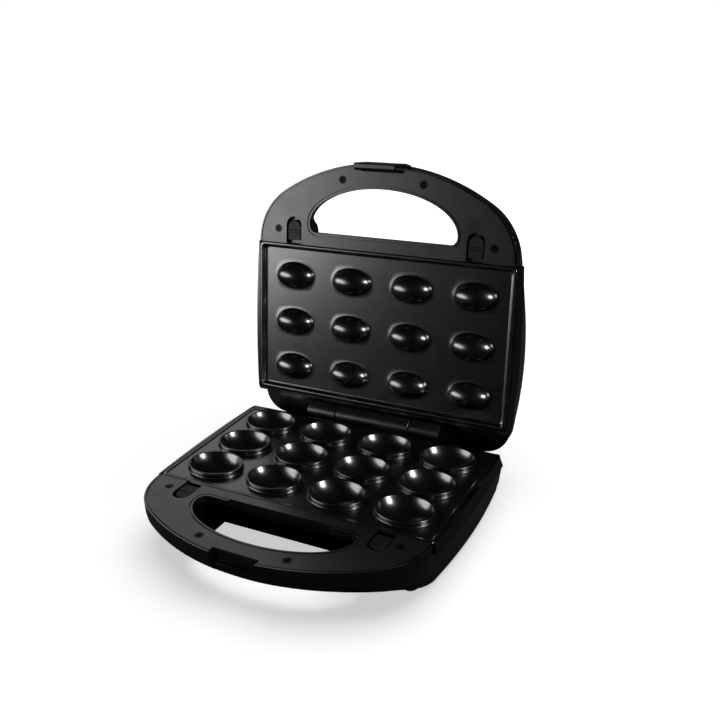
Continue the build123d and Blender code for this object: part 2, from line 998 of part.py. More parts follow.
def reflector_fixing_cuts(radius):
    """Holes for the reflector's fixing screws."""
    cuts = []
    for x, y in reflector_fixing_places():
        cuts.append(rod(radius, (x, y, -ring_depth - 1), (x, y, -plate_height + 2)))
    return cuts


def reflector():
    """A pressed tray under the element, its flange on the frame's ledge."""
    margin = plate_skirt + reflector_gap
    flange = rounded_rectangle(body_half_width - margin, body_front - margin, body_rear - margin, 1.0)
    top = -plate_height + reflector_thick
    body = slab(flange, -plate_height, top)
    gap = reflector_gap
    outside = rounded_rectangle(ring_half_width - gap, ring_front - gap, ring_rear - gap, ring_corner - gap)
    gap = reflector_gap + reflector_thick
    inside = rounded_rectangle(ring_half_width - gap, ring_front - gap, ring_rear - gap, ring_corner - gap)
    body = body + slab(outside, -reflector_back, top) - slab(inside, -reflector_floor, top + 1)
    return body - reflector_fixing_cuts(fixing_shank + screw_gap)


def reflector_screws():
    """Small screws through the reflector's flange."""
    screws = []
    top = -plate_height + reflector_thick
    for x, y in reflector_fixing_places():
        head = rod(fixing_head, (x, y, top), (x, y, top + fixing_head / 2))
        screws.append(head + rod(fixing_shank, (x, y, top - fixing_length), (x, y, top + tiny)))
    return as_group(screws)


def thermostat(contact):
    """A snap-disc thermostat with two blade terminals."""
    foot = contact + thermostat_height
    body = rod(thermostat_radius, (0, 0, -foot), (0, 0, -contact))
    body = chamfer(body.edges().sort_by(Axis.Z)[-1], collar_chamfer)
    blade = block(
        thermostat_radius - 1,
        thermostat_radius + blade_length,
        -blade_width / 2,
        blade_width / 2,
        -foot + blade_thick,
        -foot + 2 * blade_thick,
    )
    return body + both_sides(blade)


def thermostat_bracket(contact):
    """A bridge that lifts the thermostat from the reflector to the plate."""
    top = -contact - thermostat_height
    half = bracket_half_length
    width = bracket_width / 2
    bridge = block(-width, width, -half, half, -reflector_floor, top)
    under = top - reflector_thick
    bridge = bridge - block(-far, far, reflector_thick - half, half - reflector_thick, -far, under)
    for side in (-1, 1):
        y = side * (half + bracket_foot / 2)
        low = -reflector_floor
        bridge = bridge + block(
            -width, width, y - bracket_foot / 2, y + bracket_foot / 2, low, low + reflector_thick
        )
    return bridge


def thermal_fuse():
    """A thermal fuse with its two leads, lying under the reflector."""
    z = -reflector_back - fuse_radius
    half = fuse_length / 2
    body = rod(fuse_radius, (fuse_x - half, 0, z), (fuse_x + half, 0, z))
    lead = half + fuse_lead_length
    return body + rod(fuse_lead, (fuse_x - lead, 0, z), (fuse_x + lead, 0, z))


def fuse_clip():
    """A strap that holds the fuse against the reflector."""
    z = -reflector_back - fuse_radius
    half = fuse_clip_width / 2
    x0 = (fuse_x - half, 0, z)
    x1 = (fuse_x + half, 0, z)
    outside = fuse_radius + fuse_clip_wall
    saddle = rod(outside, x0, x1)
    saddle = saddle + block(fuse_x - half, fuse_x + half, -outside, outside, z, -reflector_back)
    foot = outside + fuse_clip_foot
    saddle = saddle + block(
        fuse_x - half, fuse_x + half, -foot, foot, -reflector_back - fuse_clip_wall, -reflector_back
    )
    room = rod(fuse_radius, (fuse_x - far, 0, z), (fuse_x + far, 0, z))
    saddle = saddle - block(0, far, -fuse_radius, fuse_radius, z, -reflector_back)
    return saddle - room - block(0, far, -far, far, -reflector_back, far)


# Catches and their springs

def plate_catch(side):
    """A sliding catch: thumb tab, neck, shoe and the nose that holds the plate."""
    radius = catch_width / 2
    top = -catch_top
    foot = top - catch_thick
    edges = [
        Line((-radius, -catch_rear), (-radius, -catch_front + radius)),
        ThreePointArc((-radius, radius - catch_front), (0, -catch_front), (radius, radius - catch_front)),
        Line((radius, radius - catch_front), (radius, -catch_rear)),
        Line((radius, -catch_rear), (-radius, -catch_rear)),
    ]
    catch = slab(make_face(edges), foot, top)
    rear = -(catch_front + catch_rear) / 2 + catch_lip
    catch = catch + block(-radius, radius, rear - catch_lip, rear, top - tiny, top + catch_lip_rise)
    half = neck_width / 2
    catch = catch + block(-half, half, -neck_front, -neck_rear, -shoe_top - tiny, foot + tiny)
    half = shoe_width / 2
    low = -shoe_top - shoe_thick
    rear = -case_join - front_wall - nose_gap
    catch = catch + block(-half, half, -shoe_front, rear, low, -shoe_top)
    half = nose_width / 2
    tip = -body_front + nose_reach
    nose = block(-half, half, rear - tiny, tip, low, -shoe_top)
    nose = chamfer(nose.edges().filter_by(Axis.X).group_by(Axis.Y)[-1].sort_by(Axis.Z)[-1], nose_reach / 2)
    return Pos(side * catch_place, 0, 0) * (catch + nose)


def catch_spring(side):
    """A compression spring between the catch's shoe and its stop."""
    gap = catch_spring_wire / 2
    start = -catch_spring_stop + gap
    length = catch_spring_stop - shoe_front - 2 * gap
    z = -shoe_top - shoe_thick / 2
    pitch = length / catch_spring_turns
    path = Helix(pitch, length, catch_spring_radius, center=(0, 0, 0), direction=(0, 0, 1))
    profile = Plane(origin=path @ 0, z_dir=path % 0) * Circle(catch_spring_wire / 2)
    coil = sweep(profile, path=path)
    return Pos(side * catch_place, start, z) * Rot(-90, 0, 0) * coil


# Latch

def latch_lever():
    """The latch: a curved lever with a hooked lip and its pivot tube."""
    outer = -latch_outer
    inner = outer + latch_thick
    tip = latch_reach
    barb = tip - latch_barb_thick
    top = -latch_top
    profile = Polygon(
        (outer, tip - 1),
        (outer, -latch_pivot_z),
        (-latch_top_outer, top),
        (-latch_top_outer + latch_thick - 0.6, top),
        (inner, -latch_pivot_z),
        (inner, barb),
        (inner + latch_barb, barb),
        (inner + latch_barb, barb + 1),
        (inner + 1, tip),
        (outer + 1, tip),
        align=None,
    )
    lever = extrude(Plane.YZ * profile, amount=latch_half_width, both=True)
    y = -latch_pivot_y
    z = -latch_pivot_z
    lever = lever + rod(latch_boss, (-latch_half_width, y, z), (latch_half_width, y, z))
    reach = latch_spring_half + 1
    lever = lever - block(-reach, reach, outer + latch_thick - latch_pocket_depth, far, z - 3, z + 3)
    return lever - rod(latch_pin_radius + latch_pin_gap, (-far, y, z), (far, y, z))


def latch_pin():
    """The steel pin that the latch turns on."""
    reach = latch_gap_half + latch_pin_bite - 0.1
    y = -latch_pivot_y
    z = -latch_pivot_z
    return rod(latch_pin_radius, (-reach, y, z), (reach, y, z))


def latch_spring():
    """A torsion spring coiled round the latch pin, one leg against the recess."""
    length = 2 * latch_spring_half - latch_spring_wire
    pitch = length / latch_spring_turns
    path = Helix(pitch, length, latch_spring_radius)
    profile = Plane(origin=path @ 0, z_dir=path % 0) * Circle(latch_spring_wire)
    coil = sweep(profile, path=path)
    return Pos(-length / 2, -latch_pivot_y, -latch_pivot_z) * Rot(0, 90, 0) * coil


# Hinge

def hinge_arm(x0, x1, top):
    """One knuckle and the arm under it, from the bracket up to the barrel."""
    barrel = rod(barrel_radius, (x0, hinge_y, top), (x1, hinge_y, top))
    low = -deck_depth - bracket_sink - tiny
    arm = block(x0, x1, hinge_y - barrel_radius, hinge_y + barrel_radius, low, top)
    return barrel + arm


def hinge_bracket(half):
    """The plate that fills the deck opening, with its flange under the deck."""
    plate = block(-half, half, bracket_front, bracket_rear, -deck_back, -deck_depth - bracket_sink)
    lap = flange_lap
    wide = half + lap + 2 * stake_head + 2.0
    rear = case_rear - flange_lap
    flange = block(-wide, wide, bracket_front - lap + 1, rear, -deck_back - flange_thick, -deck_back)
    bracket = plate + flange
    for x, y in stake_places(half):
        bracket = bracket - rod(stake_radius + stake_gap, (x, y, -far), (x, y, far))
    return bracket


def base_hinge_bracket():
    """The base half of the hinge, with the middle knuckle."""
    bracket = hinge_bracket(base_knuckle_half + bracket_margin)
    bracket = bracket + hinge_arm(-base_knuckle_half, base_knuckle_half, hinge_z)
    bore = rod(hinge_pin_radius + hinge_pin_gap, (-far, hinge_y, hinge_z), (far, hinge_y, hinge_z))
    return bracket - bore


def lid_hinge_bracket():
    """The lid half of the hinge, with the two outer knuckles."""
    top = parting_gap - hinge_z
    start = base_knuckle_half + knuckle_gap
    bracket = hinge_bracket(lid_bracket_half) + both_sides(hinge_arm(start, lid_knuckle_end, top))
    end = lid_knuckle_end - knuckle_cap
    bore = rod(hinge_pin_radius + hinge_pin_gap, (-end, hinge_y, top), (end, hinge_y, top))
    return bracket - bore


def hinge_pin():
    """The steel pin through the three knuckles."""
    end = lid_knuckle_end - knuckle_cap - 0.2
    return rod(hinge_pin_radius, (-end, hinge_y, hinge_z), (end, hinge_y, hinge_z))


# Screws and feet

def pan_screw(x, y, seat, length):
    """A round-headed screw with a crossed slot."""
    head = rod(screw_head, (x, y, seat), (x, y, seat + screw_head_thick))
    cut = block(
        x - screw_head * 0.6,
        x + screw_head * 0.6,
        y - screw_slot / 2,
        y + screw_slot / 2,
        seat + screw_head_thick - screw_slot_depth,
        far,
    )
    turned = block(
        x - screw_slot / 2,
        x + screw_slot / 2,
        y - screw_head * 0.6,
        y + screw_head * 0.6,
        seat + screw_head_thick - screw_slot_depth,
        far,
    )
    return head + rod(screw_shank, (x, y, seat - length), (x, y, seat + tiny)) - cut - turned


def face_screws():
    """The four screws that hold a frame in its shell."""
    return as_group([pan_screw(x, y, -screw_sink, screw_length) for x, y in face_screw_places()])


def rubber_feet():
    """Four push-in feet."""
    feet = []
    for x, y in foot_places():
        seat = -base_depth + foot_socket
        inner = seat + case_wall
        profile = Plane.XZ * Polygon(
            (0, -stand_height),
            (foot_tip, -stand_height),
            (foot_radius, -base_depth),
            (foot_radius, seat),
            (foot_stem, seat),
            (foot_stem, inner),
            (foot_bulb, inner),
            (foot_stem / 2, inner + foot_bulb_height),
            (0, inner + foot_bulb_height),
            align=None,
        )
        feet.append(Pos(x, y, 0) * revolve(profile, Axis.Z))
    return as_group(feet)


# Electrical parts

def cord_gland():
    """The bush that the supply cord passes through."""
    y0 = pad_back - nut_thick
    z = -gland_z
    gland = rod(gland_shank, (gland_x, y0, z), (gland_x, pad_face + tiny, z))
    gland = gland + rod(gland_collar, (gland_x, pad_face, z), (gland_x, pad_face + gland_collar_thick, z))
    edge = gland.edges().sort_by(Axis.Y)[-1]
    gland = chamfer(edge, 1.0)
    return gland - rod(gland_bore, (gland_x, 0, z), (gland_x, far, z))


def gland_nut():
    """The ring that locks the gland from inside."""
    y0 = pad_back - nut_thick
    z = -gland_z
    ring = rod(nut_radius, (gland_x, y0, z), (gland_x, pad_back, z))
    return ring - rod(gland_shank, (gland_x, 0, z), (gland_x, far, z))


def cord_clamp():
    """The bar that pinches the cord."""
    z = gland_bore - gland_z
    half = clamp_length / 2
    width = clamp_width / 2
    bar = block(gland_x - half, gland_x + half, clamp_y - width, clamp_y + width, z, z + clamp_thick)
    for x, y in clamp_post_places():
        bar = bar - rod(screw_shank + screw_gap, (x, y, -far), (x, y, far))
    return bar


def clamp_screws():
    """The two screws of the cord clamp."""
    seat = gland_bore - gland_z + clamp_thick
    length = screw_length - clamp_thick
    return as_group([pan_screw(x, y, seat, length) for x, y in clamp_post_places()])


def terminal_block(x, floor):
    """A ceramic terminal block with its screw pots."""
    body = block(
        x - block_length / 2,
        x + block_length / 2,
        block_y - block_width / 2,
        block_y + block_width / 2,
        floor,
        floor + block_height,
    )
    for index in range(block_pots):
        px = x + (index - (block_pots - 1) / 2) * block_length / block_pots
        top = floor + block_height
        body = body - rod(block_pot_radius, (px, block_y, top - block_pot_depth), (px, block_y, top + 1))
    return body


# Lamps

def lamp_lens(x, y):
    """A clear lens, pushed into the lid from inside."""
    inner = -lid_depth + case_wall
    outer = -lid_depth - lens_rise
    lens = rod(lens_radius, (x, y, outer), (x, y, inner + tiny))
    lens = chamfer(lens.edges().sort_by(Axis.Z)[0], lens_rise)
    return lens + rod(lens_flange, (x, y, inner), (x, y, inner + lens_flange_thick))


def neon_bulbs():
    """Two small glow lamps behind the lenses."""
    start = -lid_depth + case_wall + lens_flange_thick + bulb_gap
    bulbs = []
    for x, y in lamp_places():
        bulb = rod(bulb_radius, (x, y, start), (x, y, start + bulb_length))
        bulbs.append(fillet(bulb.edges().sort_by(Axis.Z)[0], bulb_radius / 2))
    return as_group(bulbs)


def lamp_holder():
    """The strip that carries the lamps."""
    low = -lid_depth + case_wall + lens_flange_thick + bulb_gap + bulb_length
    half = holder_length / 2
    width = holder_width / 2
    strip = block(-half, half, -lamp_y - width, -lamp_y + width, low, low + holder_thick)
    for side in (-1, 1):
        x = side * holder_post_x
        strip = strip - rod(stake_radius + stake_gap, (x, -lamp_y, -far), (x, -lamp_y, far))
    return strip


# Assembly

def set_base(piece):
    """A piece of the base in its place on the worktop."""
    return Pos(0, -origin_back, stand_height) * piece


def set_lid(piece):
    """A piece of the lid: turned over, closed on the base, then swung open."""
    closed = Pos(0, 0, parting_gap) * mirror(piece, about=Plane.XY)
    axis = Axis((0, hinge_y, hinge_z), (1, 0, 0))
    return set_base(closed.rotate(axis, -open_angle))


lower_heater_depth = lower_recess + plate_web + heater_gap + heater_radius
upper_heater_depth = upper_recess + plate_web + heater_gap + heater_radius
lower_contact = lower_recess + plate_web
upper_contact = reflector_floor - thermostat_height
lamp_left, lamp_right = list(lamp_places())

base_nodes = {
    "base_outer_shell": base_outer_shell(),
    "base_inner_frame": base_inner_frame(),
    "lower_plate": lower_plate(),
    "lower_heater": heater(lower_heater_depth),
    "lower_heater_saddles": heater_saddles(lower_heater_depth),
    "lower_reflector": reflector(),
    "lower_reflector_screws": reflector_screws(),
    "lower_thermostat": thermostat(lower_contact),
    "thermostat_bracket": thermostat_bracket(lower_contact),
    "thermal_fuse": thermal_fuse(),
    "fuse_clip": fuse_clip(),
    "base_terminal_block": terminal_block(block_x, -base_depth + case_wall),
    "cord_gland": cord_gland(),
    "cord_gland_nut": gland_nut(),
    "cord_clamp": cord_clamp(),
    "cord_clamp_screws": clamp_screws(),
    "base_face_screws": face_screws(),
    "rubber_feet": rubber_feet(),
    "base_hinge_bracket": base_hinge_bracket(),
    "hinge_pin": hinge_pin(),
    "lower_catch_left": plate_catch(-1),
    "lower_catch_right": plate_catch(1),
    "lower_catch_spring_left": catch_spring(-1),
    "lower_catch_spring_right": catch_spring(1),
}

lid_nodes = {
    "lid_outer_shell": lid_outer_shell(),
    "lid_inner_frame": inner_frame(),
    "upper_plate": upper_plate(),
    "upper_heater": heater(upper_heater_depth),
    "upper_heater_saddles": heater_saddles(upper_heater_depth),
    "upper_reflector": reflector(),
    "upper_reflector_screws": reflector_screws(),
    "upper_thermostat": thermostat(upper_contact),
    "lid_terminal_block": terminal_block(lid_block_x, -lid_depth + case_wall),
    "lid_face_screws": face_screws(),
    "lid_hinge_bracket": lid_hinge_bracket(),
    "upper_catch_left": plate_catch(-1),
    "upper_catch_right": plate_catch(1),
    "upper_catch_spring_left": catch_spring(-1),
    "upper_catch_spring_right": catch_spring(1),
    "latch_lever": latch_lever(),
    "latch_pin": latch_pin(),
    "latch_spring": latch_spring(),
    "power_lamp_lens": lamp_lens(*lamp_left),
    "ready_lamp_lens": lamp_lens(*lamp_right),
    "indicator_bulbs": neon_bulbs(),
    "lamp_holder": lamp_holder(),
}

os.makedirs("parts", exist_ok=True)
for name, piece in base_nodes.items():
    export_step(set_base(piece), f"parts/{name}.step")
for name, piece in lid_nodes.items():
    export_step(set_lid(piece), f"parts/{name}.step")
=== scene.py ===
import math

import bmesh
import bpy
import numpy as np
from mathutils import Matrix


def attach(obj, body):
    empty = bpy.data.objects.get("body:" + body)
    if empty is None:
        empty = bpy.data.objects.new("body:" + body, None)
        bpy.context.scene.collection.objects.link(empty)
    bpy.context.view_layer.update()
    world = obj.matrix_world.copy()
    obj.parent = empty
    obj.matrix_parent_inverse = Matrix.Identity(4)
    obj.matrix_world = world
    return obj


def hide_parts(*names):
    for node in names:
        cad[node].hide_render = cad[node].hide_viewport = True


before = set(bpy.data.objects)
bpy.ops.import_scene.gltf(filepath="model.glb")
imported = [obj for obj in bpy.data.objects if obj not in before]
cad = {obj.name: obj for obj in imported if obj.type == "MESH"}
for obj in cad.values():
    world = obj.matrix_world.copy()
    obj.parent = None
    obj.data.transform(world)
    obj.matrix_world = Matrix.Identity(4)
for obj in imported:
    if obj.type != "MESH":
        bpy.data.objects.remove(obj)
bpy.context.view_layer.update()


# Case shells
# Two deep halves injection moulded in black ABS, polished outside so that they gleam.
# Their thin upper edge is left sharp by the mould and only lightly broken.

def linear(hex_colour):
    """An sRGB hex colour as linear red, green, blue and full alpha."""
    values = np.array([int(hex_colour[i:i + 2], 16) for i in (1, 3, 5)]) / 255
    low = values / 12.92
    high = ((values + 0.055) / 1.055) ** 2.4
    return (*np.where(values <= 0.04045, low, high), 1.0)


def add_node(owner, kind, settings=None, **inputs):
    """Adds a node to a material or to the world.

    Inputs are values or output sockets, by socket name with _ for a space, or by _ and socket number.
    """
    node = owner.node_tree.nodes.new(kind)
    for key, value in (settings or {}).items():
        setattr(node, key, value)
    for key, value in inputs.items():
        socket = node.inputs[int(key[1:]) if key[1:].isdigit() else key.replace("_", " ")]
        if isinstance(value, bpy.types.NodeSocket):
            owner.node_tree.links.new(value, socket)
        else:
            socket.default_value = value
    return node


def finish_material(name, grain, fine, bump, light, dark, rough, spread, **surface):
    """A solid finish: a coarse noise varies its colour and roughness, a fine one its height.

    grain and fine are the sizes of the two noises and bump is the height, in metres. The real finishes
    are finer than a render can show, so the fine noise is drawn as coarse as it needs to show.
    """
    material = bpy.data.materials.new(name)
    material.use_nodes = True
    material.node_tree.nodes.clear()
    place = add_node(material, "ShaderNodeTexCoord").outputs["Object"]
    coarse = add_node(
        material, "ShaderNodeTexNoise", Vector=place, Scale=1 / grain, Detail=4.0, Roughness=0.6
    )
    small = add_node(
        material, "ShaderNodeTexNoise", Vector=place, Scale=1 / fine, Detail=2.0, Roughness=0.5
    )
    colour = add_node(
        material, "ShaderNodeMix", {"data_type": "RGBA"},
        _0=coarse.outputs["Fac"], _6=linear(dark), _7=linear(light),
    )
    gloss = add_node(
        material, "ShaderNodeMapRange", Value=coarse.outputs["Fac"],
        From_Min=0.3, From_Max=0.7, To_Min=rough - spread, To_Max=rough + spread,
    )
    height = add_node(
        material, "ShaderNodeBump", Height=small.outputs["Fac"], Strength=1.0, Distance=bump
    )
    shader = add_node(
        material, "ShaderNodeBsdfPrincipled", Base_Color=colour.outputs[2],
        Roughness=gloss.outputs[0], Normal=height.outputs[0], **surface,
    )
    add_node(material, "ShaderNodeOutputMaterial", Surface=shader.outputs[0])
    return material


merge_distance = 2e-6
flat_angle = math.radians(0.4)
hard_angle = math.radians(34)


def merged_copy(node, body, name, material, edge, grooves=()):
    """A copy of a construction node with its facets merged and every hard edge rounded over.

    edge is the width of the rounding in metres. Grooves are loose bodies that are cut out of the copy
    before its edges are rounded. Shading follows the largest faces, so wide faces stay flat to the eye.
    """
    mesh = bpy.data.meshes.new(name)
    work = bmesh.new()
    work.from_mesh(cad[node].data)
    bmesh.ops.remove_doubles(work, verts=work.verts, dist=merge_distance)
    bmesh.ops.dissolve_limit(work, angle_limit=flat_angle, verts=work.verts, edges=work.edges)
    work.to_mesh(mesh)
    work.free()
    piece = bpy.data.objects.new(name, mesh)
    bpy.context.collection.objects.link(piece)
    for groove in grooves:
        cut = piece.modifiers.new("groove", "BOOLEAN")
        cut.object = groove
        cut.solver = "EXACT"
        piece.data = bpy.data.meshes.new_from_object(
            piece.evaluated_get(bpy.context.evaluated_depsgraph_get())
        )
        piece.modifiers.remove(cut)
        bpy.data.objects.remove(groove)
    mesh = piece.data
    mesh.materials.clear()
    mesh.materials.append(material)
    mesh.shade_smooth()
    mesh.set_sharp_from_angle(angle=hard_angle)
    rounding = piece.modifiers.new("rounding", "BEVEL")
    rounding.width = edge
    rounding.segments = 2
    rounding.limit_method = "ANGLE"
    rounding.angle_limit = hard_angle
    shading = piece.modifiers.new("even_shading", "WEIGHTED_NORMAL")
    shading.weight = 100
    shading.keep_sharp = True
    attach(piece, body)
    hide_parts(node)
    return piece


# Polished ABS: nearly black, with sharp bright reflections of the windows.
polished_abs = finish_material(
    "polished_black_abs", grain=0.012, fine=0.0006, bump=0.000004,
    light="#070708", dark="#040405", rough=0.2, spread=0.03, IOR=1.53,
)
merged_copy("base_outer_shell", "base", "base_case", polished_abs, 0.0004)
merged_copy("lid_outer_shell", "lid", "lid_case", polished_abs, 0.0004)


# Inner frames
# Moulded ABS frames that close each half round its plate, with a fine spark-eroded grain.
# Each is fixed by four face screws, and a narrow groove runs round its hand hole and its handle.

drawing_place = np.array([0.0, 2.0, 40.0])
closed_gap = 0.6
hinge_line = np.array([0.0744, 0.0424])
opening = math.radians(98.35)
seam_distance = 1e-6
seam_angle = math.radians(50)


def on_base(points):
    """Millimetres in the base's own drawing to metres in the scene."""
    return (points + drawing_place) / 1000


def on_lid(points):
    """Millimetres in the lid's own drawing, turned over and swung open about the hinge, to metres."""
    x = points[..., 0] / 1000
    y = (points[..., 1] + drawing_place[1]) / 1000 - hinge_line[0]
    z = (drawing_place[2] + closed_gap - points[..., 2]) / 1000 - hinge_line[1]
    turned_y = hinge_line[0] + y * math.cos(opening) + z * math.sin(opening)
    turned_z = hinge_line[1] - y * math.sin(opening) + z * math.cos(opening)
    return np.stack([x, turned_y, turned_z], axis=-1)


def patch_faces(shape, start):
    """Quads between neighbouring rings; the last column joins the first."""
    rings, around = shape
    ring, column = np.meshgrid(np.arange(rings - 1), np.arange(around), indexing="ij")
    after = (column + 1) % around
    quads = np.stack([
        ring * around + column, ring * around + after,
        (ring + 1) * around + after, (ring + 1) * around + column,
    ], axis=-1)
    return quads.reshape(-1, 4) + start


def joined_mesh(name, patches, material=None):
    """One closed mesh from ringed patches: touching borders are merged, faces are turned outwards."""
    points = []
    faces = []
    count = 0
    for patch in patches:
        points.append(patch.reshape(-1, 3))
        faces.append(patch_faces(patch.shape[:2], count))
        count += patch.shape[0] * patch.shape[1]
    mesh = bpy.data.meshes.new(name)
    mesh.from_pydata(np.concatenate(points).tolist(), [], np.concatenate(faces).tolist())
    work = bmesh.new()
    work.from_mesh(mesh)
    bmesh.ops.remove_doubles(work, verts=work.verts, dist=seam_distance)
    bmesh.ops.recalc_face_normals(work, faces=work.faces)
    work.to_mesh(mesh)
    work.free()
    if material:
        mesh.materials.append(material)
    mesh.shade_smooth()
    mesh.set_sharp_from_angle(angle=seam_angle)
    piece = bpy.data.objects.new(name, mesh)
    bpy.context.collection.objects.link(piece)
    return piece


hole_half, hole_reach, hole_corner, hole_rear = 63.0, 31.0, 6.5, -82.0
handle_half, handle_reach, handle_rear = 110.0, 67.4, -65.0
tight_share = 0.95
straight_end = 0.5
above_face = 0.5


def groove_section(near, far, depth):
    """The four corners (distance, height) of a groove, which stands a little out of the face."""
    return ((near, above_face), (far, above_face), (far, -depth), (near, -depth))


def hole_outline(grow, height):
    """The hand hole, grown evenly: half an ellipse in front, a quarter circle at each rear corner."""
    half, reach, corner = hole_half + grow, hole_reach + grow, hole_corner + grow
    front = np.linspace(math.pi, 2 * math.pi, 97)[:-1]
    rise = np.radians(np.linspace(0, 90, 17))
    x = np.concatenate([
        half * np.cos(front), half - corner + corner * np.cos(rise),
        corner - half - corner * np.sin(rise),
    ])
    y = np.concatenate([reach * np.sin(front), corner * np.sin(rise), corner * np.cos(rise)])
    return np.stack([x, y + hole_rear, np.full_like(x, height)], axis=-1)


def hole_groove(name, placing):
    """A square ring 0.9 mm wide, to be cut 0.9 mm deep into a frame's face round its hand hole."""
    corners = groove_section(1.6, 2.5, 0.9)
    ring = np.stack([hole_outline(grow, height) for grow, height in (*corners, corners[0])])
    return joined_mesh(name, [placing(ring)])


def handle_outline(inset, height):
    """The handle's arch drawn in by an inset: a wide arc in front and a tighter one at each side.

    The tight radius is a share of the arch's depth, times the root of depth over half width. The wide
    radius is the one at which the arcs touch where they meet. Both ends run straight on a little.
    """
    half, reach = handle_half - inset, handle_reach - inset
    tight = tight_share * reach * math.sqrt(reach / half)
    wide = ((half - tight) ** 2 + reach ** 2 - tight ** 2) / (2 * (reach - tight))
    turn = math.atan2(wide - reach, half - tight)
    side = np.linspace(0, turn, 33)
    front = np.linspace(math.pi / 2 - turn, turn - math.pi / 2, 97)[1:-1]
    side_x = half - tight + tight * np.cos(side)
    side_y = -tight * np.sin(side)
    front_y = wide - reach - wide * np.cos(front)
    run_on = [straight_end]
    x = np.concatenate([[half], side_x, wide * np.sin(front), -side_x[::-1], [-half]])
    y = np.concatenate([run_on, side_y, front_y, side_y[::-1], run_on]) + handle_rear
    return np.stack([x, y, np.full_like(x, height)], axis=-1)


def edge_groove(name, placing):
    """A square band 1.2 mm wide, to be cut 0.8 mm deep into a frame's face along its handle's edge."""
    corners = groove_section(1.0, 2.2, 0.8)
    band = np.stack([handle_outline(inset, height) for inset, height in corners], axis=1)
    first, last = (np.broadcast_to(band[end].mean(axis=0), (1, 4, 3)) for end in (0, -1))
    return joined_mesh(name, [placing(np.concatenate([first, band, last]))])


# Grained ABS: the grain spreads the light, so the faces look grey where the case looks black.
grained_abs = finish_material(
    "grained_black_abs", grain=0.02, fine=0.0007, bump=0.00002,
    light="#0d0d0e", dark="#09090a", rough=0.31, spread=0.03, IOR=1.53,
)
merged_copy(
    "base_inner_frame", "base", "base_frame", grained_abs, 0.0004,
    grooves=(hole_groove("base_hole_groove", on_base), edge_groove("base_edge_groove", on_base)),
)
merged_copy(
    "lid_inner_frame", "lid", "lid_frame", grained_abs, 0.0004,
    grooves=(hole_groove("lid_hole_groove", on_lid), edge_groove("lid_edge_groove", on_lid)),
)


# Baking plates
# Die-cast aluminium plates, sprayed and baked with a dark non-stick coating.
# The lower one has twelve cups with raised collars, the upper one twelve domes that dip into them.

plate_half, plate_front, plate_rear = 110.0, 64.6, 60.0
field_half, field_front, field_rear = 106.0, -60.0, 55.8
column_step, row_step = 52.0, 38.6
columns = (np.arange(4) - 1.5) * column_step
rows = (np.arange(3) - 1) * row_step
edges_x = np.array([-field_half, -column_step, 0.0, column_step, field_half])
edges_y = np.array([field_front, -row_step / 2, row_step / 2, field_rear])
cell_steps = 24
corner_steps = 5


def cell_border(column, row):
    """The rectangle of plate round one cup, walked in equal steps from its front left corner."""
    x0, x1 = edges_x[column:column + 2]
    y0, y1 = edges_y[row:row + 2]
    step = np.arange(cell_steps) / cell_steps
    stay = np.ones(cell_steps)
    x = np.concatenate([x0 + (x1 - x0) * step, x1 * stay, x1 - (x1 - x0) * step, x0 * stay])
    y = np.concatenate([y0 * stay, y0 + (y1 - y0) * step, y1 * stay, y1 - (y1 - y0) * step])
    return np.stack([x, y], axis=-1)


def cup_cell(column, row, half_length, half_width, rings, floor):
    """Rings (share, outward, height) on a growing ellipse, then straight out to the cell's border."""
    border = cell_border(column, row)
    centre = np.array([columns[column], rows[row]])
    toward = (border - centre) / np.array([half_length, half_width])
    turn = np.arctan2(toward[:, 1], toward[:, 0])
    share, outward, height = (np.array(values)[:, None] for values in zip(*rings))
    x = centre[0] + (share * half_length + outward) * np.cos(turn)
    y = centre[1] + (share * half_width + outward) * np.sin(turn)
    inner = np.stack([x, y, np.broadcast_to(height, x.shape)], axis=-1)
    last = inner[-1, :, :2]
    spread = np.linspace(0.25, 1, 4)[:, None, None]
    outer = last + (border - last) * spread
    outer = np.concatenate([outer, np.full((*outer.shape[:2], 1), floor)], axis=-1)
    return np.concatenate([inner, outer])


def plate_border():
    """The outline of all the cells together, walked like one cell, and its steps along x and y."""
    step = np.arange(cell_steps) / cell_steps
    along_x = (edges_x[:-1, None] + np.diff(edges_x)[:, None] * step).ravel()
    along_y = (edges_y[:-1, None] + np.diff(edges_y)[:, None] * step).ravel()
    back = np.concatenate([[field_rear], along_y[1:][::-1]])
    stay_x, stay_y = np.ones(len(along_x)), np.ones(len(along_y))
    x = np.concatenate([along_x, field_half * stay_y, -along_x, -field_half * stay_y])
    y = np.concatenate([field_front * stay_x, along_y, field_rear * stay_x, back])
    return np.stack([x, y], axis=-1), (len(along_x), len(along_y))


def rim_outline(inset, corner, counts):
    """The plate's outline drawn in by an inset: each side's last steps run round half a corner."""
    half, front, rear = plate_half - inset, plate_front - inset, plate_rear - inset
    middle = (rear - front) / 2
    depth = (rear + front) / 2
    arc = np.radians(np.linspace(0, 45, corner_steps + 1)[1:])
    sides = []
    for number in range(4):
        length, reach = ((half, depth), (depth, half))[number % 2]
        end = length - corner
        straight = np.linspace(-end, end, counts[number % 2] + 1 - 2 * corner_steps)
        arc_out = reach - corner + corner * np.cos(arc)
        along = np.concatenate([-end - corner * np.sin(arc[::-1]), straight, end + corner * np.sin(arc)])
        out = np.concatenate([arc_out[::-1], np.full_like(straight, reach), arc_out])
        along, out = along[:-1], out[:-1]
        x, y = ((along, -out), (out, along), (-along, out), (-out, -along))[number]
        sides.append(np.stack([x, y + middle], axis=-1))
    return np.concatenate(sides)


